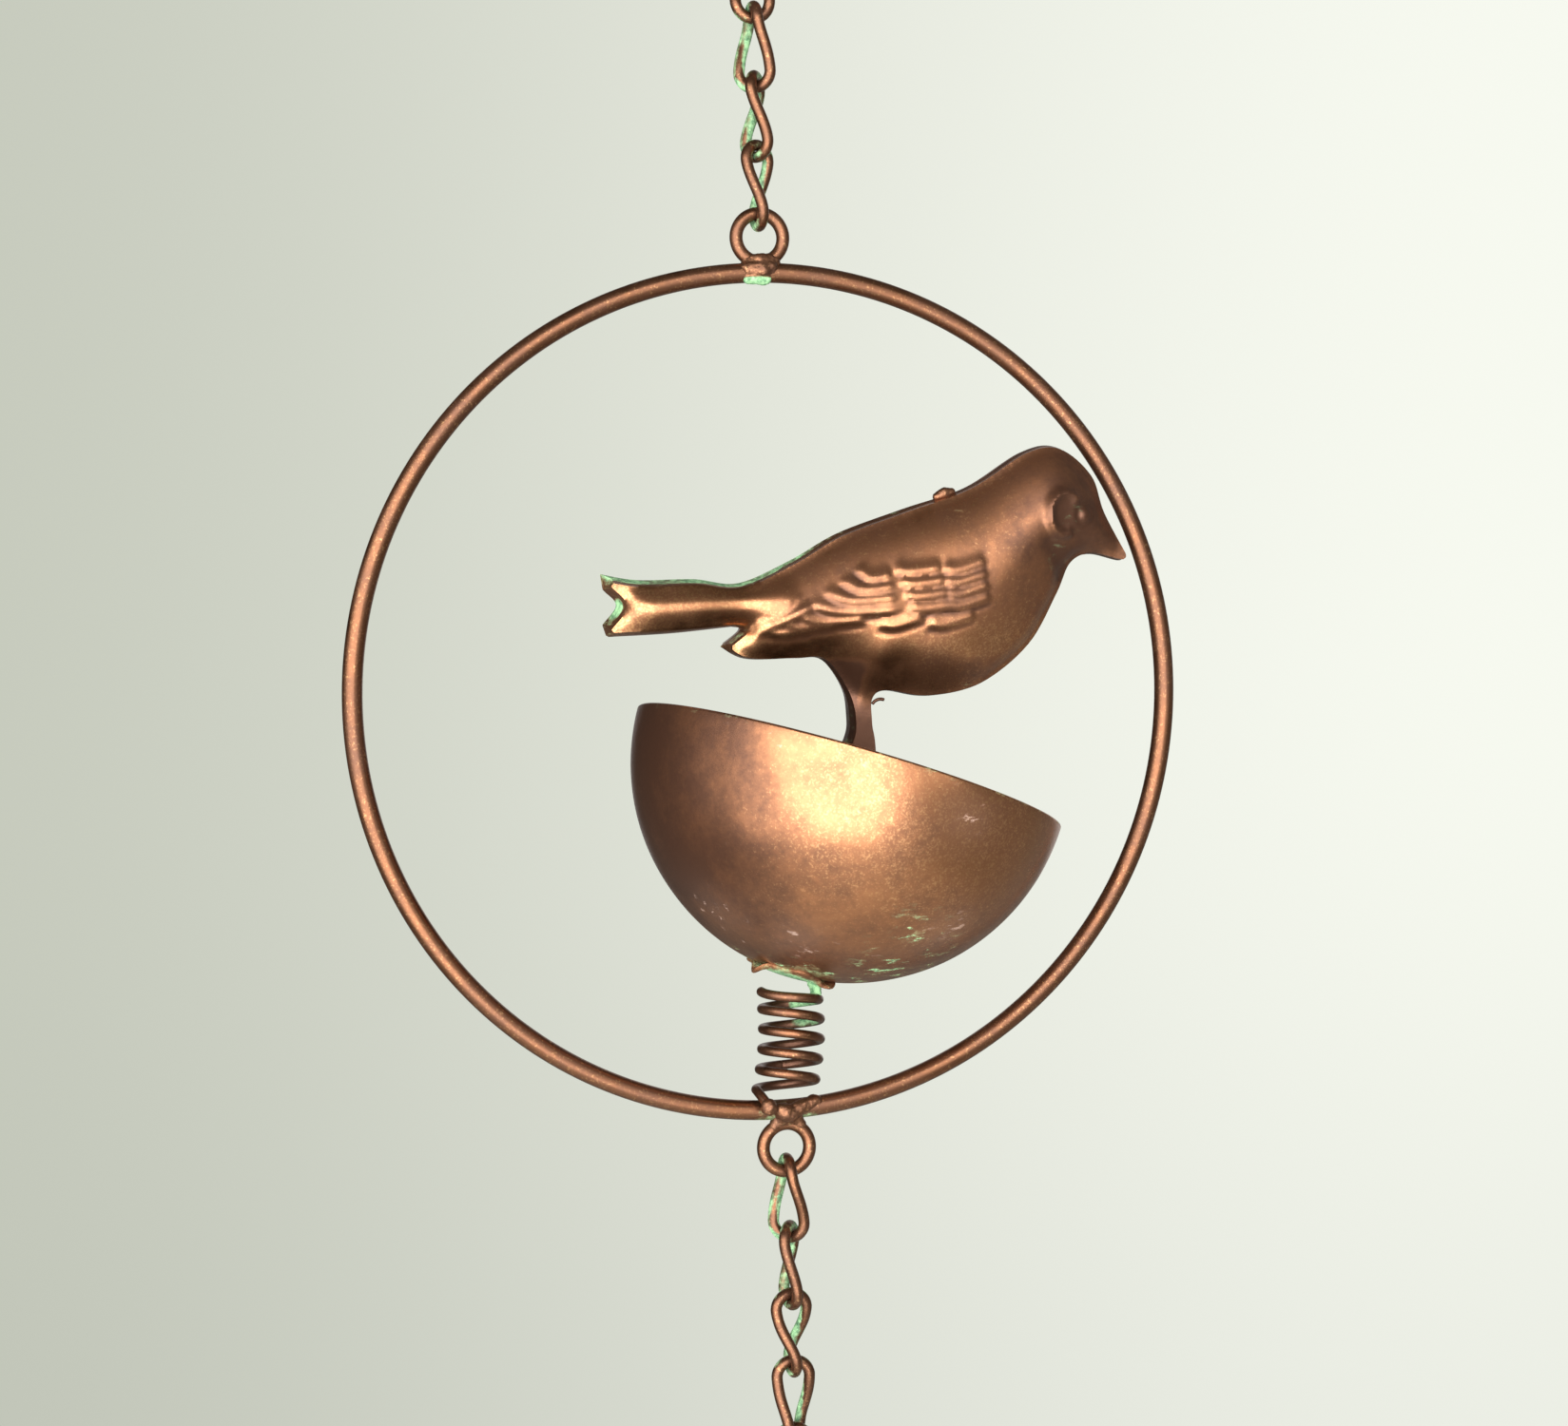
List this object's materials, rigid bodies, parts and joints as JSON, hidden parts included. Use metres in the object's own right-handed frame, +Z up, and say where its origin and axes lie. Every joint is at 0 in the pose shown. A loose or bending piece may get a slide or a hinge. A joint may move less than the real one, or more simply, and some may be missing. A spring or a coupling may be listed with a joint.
{
  "type": "hanging garden ornament",
  "caption": "Copper bird in a tilted cup that bobs on a coil spring inside a wire hoop, with twisted-link chain above and below and a hook to hang it.",
  "frame": {"origin": "inside top of the S-hook, where it bears on its support", "axes": "+Z up along the chain, +X towards the bird's beak, -Y the front of the hoop"},
  "size_m": [0.15, 0.0779, 0.3029],
  "materials": {
    "copper_wire": "antique copper on iron wire, green at the joints",
    "spring_wire": "antique copper spring wire, green on the inside",
    "copper_sheet": "antique copper on thin sheet, satin",
    "weld_metal": "rough weld bead under copper paint and verdigris",
    "verdigris_plate": "copper with green verdigris"
  },
  "bodies": {
    "hook": {"top_hook": "copper_wire"},
    "link_1": {"chain_link_1": "copper_wire"},
    "link_2": {"chain_link_2": "copper_wire"},
    "link_3": {"chain_link_3": "copper_wire"},
    "link_4": {"chain_link_4": "copper_wire"},
    "ring": {"top_eye": "copper_wire", "top_weld": "weld_metal", "hoop": "copper_wire", "bottom_eye": "copper_wire", "bottom_weld": "weld_metal", "spring_foot": "spring_wire"},
    "coil_low": {"spring_middle": "spring_wire"},
    "coil_high": {"spring_top": "spring_wire"},
    "cup_and_bird": {"spring_plate": "verdigris_plate", "plate_weld": "verdigris_plate", "cup": "copper_sheet", "bird_right_half": "copper_sheet", "bird_left_half": "copper_sheet", "back_tack": "weld_metal", "weld_whisker": "weld_metal", "foot_weld": "weld_metal"},
    "link_5": {"chain_link_5": "copper_wire"},
    "link_6": {"chain_link_6": "copper_wire"},
    "link_7": {"chain_link_7": "copper_wire"},
    "link_8": {"chain_link_8": "copper_wire"},
    "link_9": {"chain_link_9": "copper_wire"}
  },
  "joints": [
    {"name": "hook_swing", "type": "hinge", "parent": "hook", "child": "link_1", "pos_m": [0, 0, -0.02675], "axis": [1, 0, 0], "range_deg": [-45, 45], "stiffness_Nm_per_rad": 0.25, "springref_deg": 0.34},
    {"name": "link_2_swing", "type": "hinge", "parent": "link_1", "child": "link_2", "pos_m": [0, 0, -0.03845], "axis": [-1, 0, 0], "range_deg": [-45, 45], "stiffness_Nm_per_rad": 0.25, "springref_deg": -0.34},
    {"name": "link_3_swing", "type": "hinge", "parent": "link_2", "child": "link_3", "pos_m": [0, 0, -0.0504], "axis": [0.7986, -0.6018, 0], "range_deg": [-45, 45], "stiffness_Nm_per_rad": 0.25, "springref_deg": 2.28},
    {"name": "link_4_swing", "type": "hinge", "parent": "link_3", "child": "link_4", "pos_m": [0, 0, -0.06235], "axis": [-0.4695, 0.8829, 0], "range_deg": [-45, 45], "stiffness_Nm_per_rad": 0.25, "springref_deg": -3.11},
    {"name": "hoop_swing", "type": "hinge", "parent": "link_4", "child": "ring", "pos_m": [0, 0, -0.0743], "axis": [-0.0349, 0.9994, 0], "range_deg": [-45, 45], "stiffness_Nm_per_rad": 0.25, "springref_deg": -3.35},
    {"name": "link_5_swing", "type": "hinge", "parent": "ring", "child": "link_5", "pos_m": [0, 0, -0.2398], "axis": [1, 0, 0], "range_deg": [-45, 45]},
    {"name": "link_6_swing", "type": "hinge", "parent": "link_5", "child": "link_6", "pos_m": [0, 0, -0.2516], "axis": [-0.788, 0.6157, 0], "range_deg": [-45, 45]},
    {"name": "link_7_swing", "type": "hinge", "parent": "link_6", "child": "link_7", "pos_m": [0, 0, -0.26355], "axis": [0.1736, -0.9848, 0], "range_deg": [-45, 45]},
    {"name": "link_8_swing", "type": "hinge", "parent": "link_7", "child": "link_8", "pos_m": [0, 0, -0.2755], "axis": [0, 1, 0], "range_deg": [-45, 45]},
    {"name": "link_9_swing", "type": "hinge", "parent": "link_8", "child": "link_9", "pos_m": [0, 0, -0.28745], "axis": [-0.5299, -0.848, 0], "range_deg": [-45, 45]},
    {"name": "cup_nod", "type": "hinge", "parent": "ring", "child": "coil_low", "pos_m": [0.0005, 0, -0.2233], "axis": [1, 0, 0], "range_deg": [-12, 12], "stiffness_Nm_per_rad": 0.4, "springref_deg": 0.21, "deforming": ["spring_foot", "spring_middle"]},
    {"name": "cup_sway", "type": "hinge", "parent": "coil_low", "child": "coil_high", "pos_m": [0.0012, 0, -0.2189], "axis": [0, 1, 0], "range_deg": [-20, 0.4], "stiffness_Nm_per_rad": 0.4, "springref_deg": -1.9, "deforming": ["spring_middle", "spring_top"]},
    {"name": "cup_bob", "type": "slide", "parent": "coil_high", "child": "cup_and_bird", "axis": [0, 0, 1], "range_m": [-0.003, 0.0008], "stiffness_N_per_m": 6000, "springref_m": 0.00018, "deforming": ["spring_top"]}
  ]
}
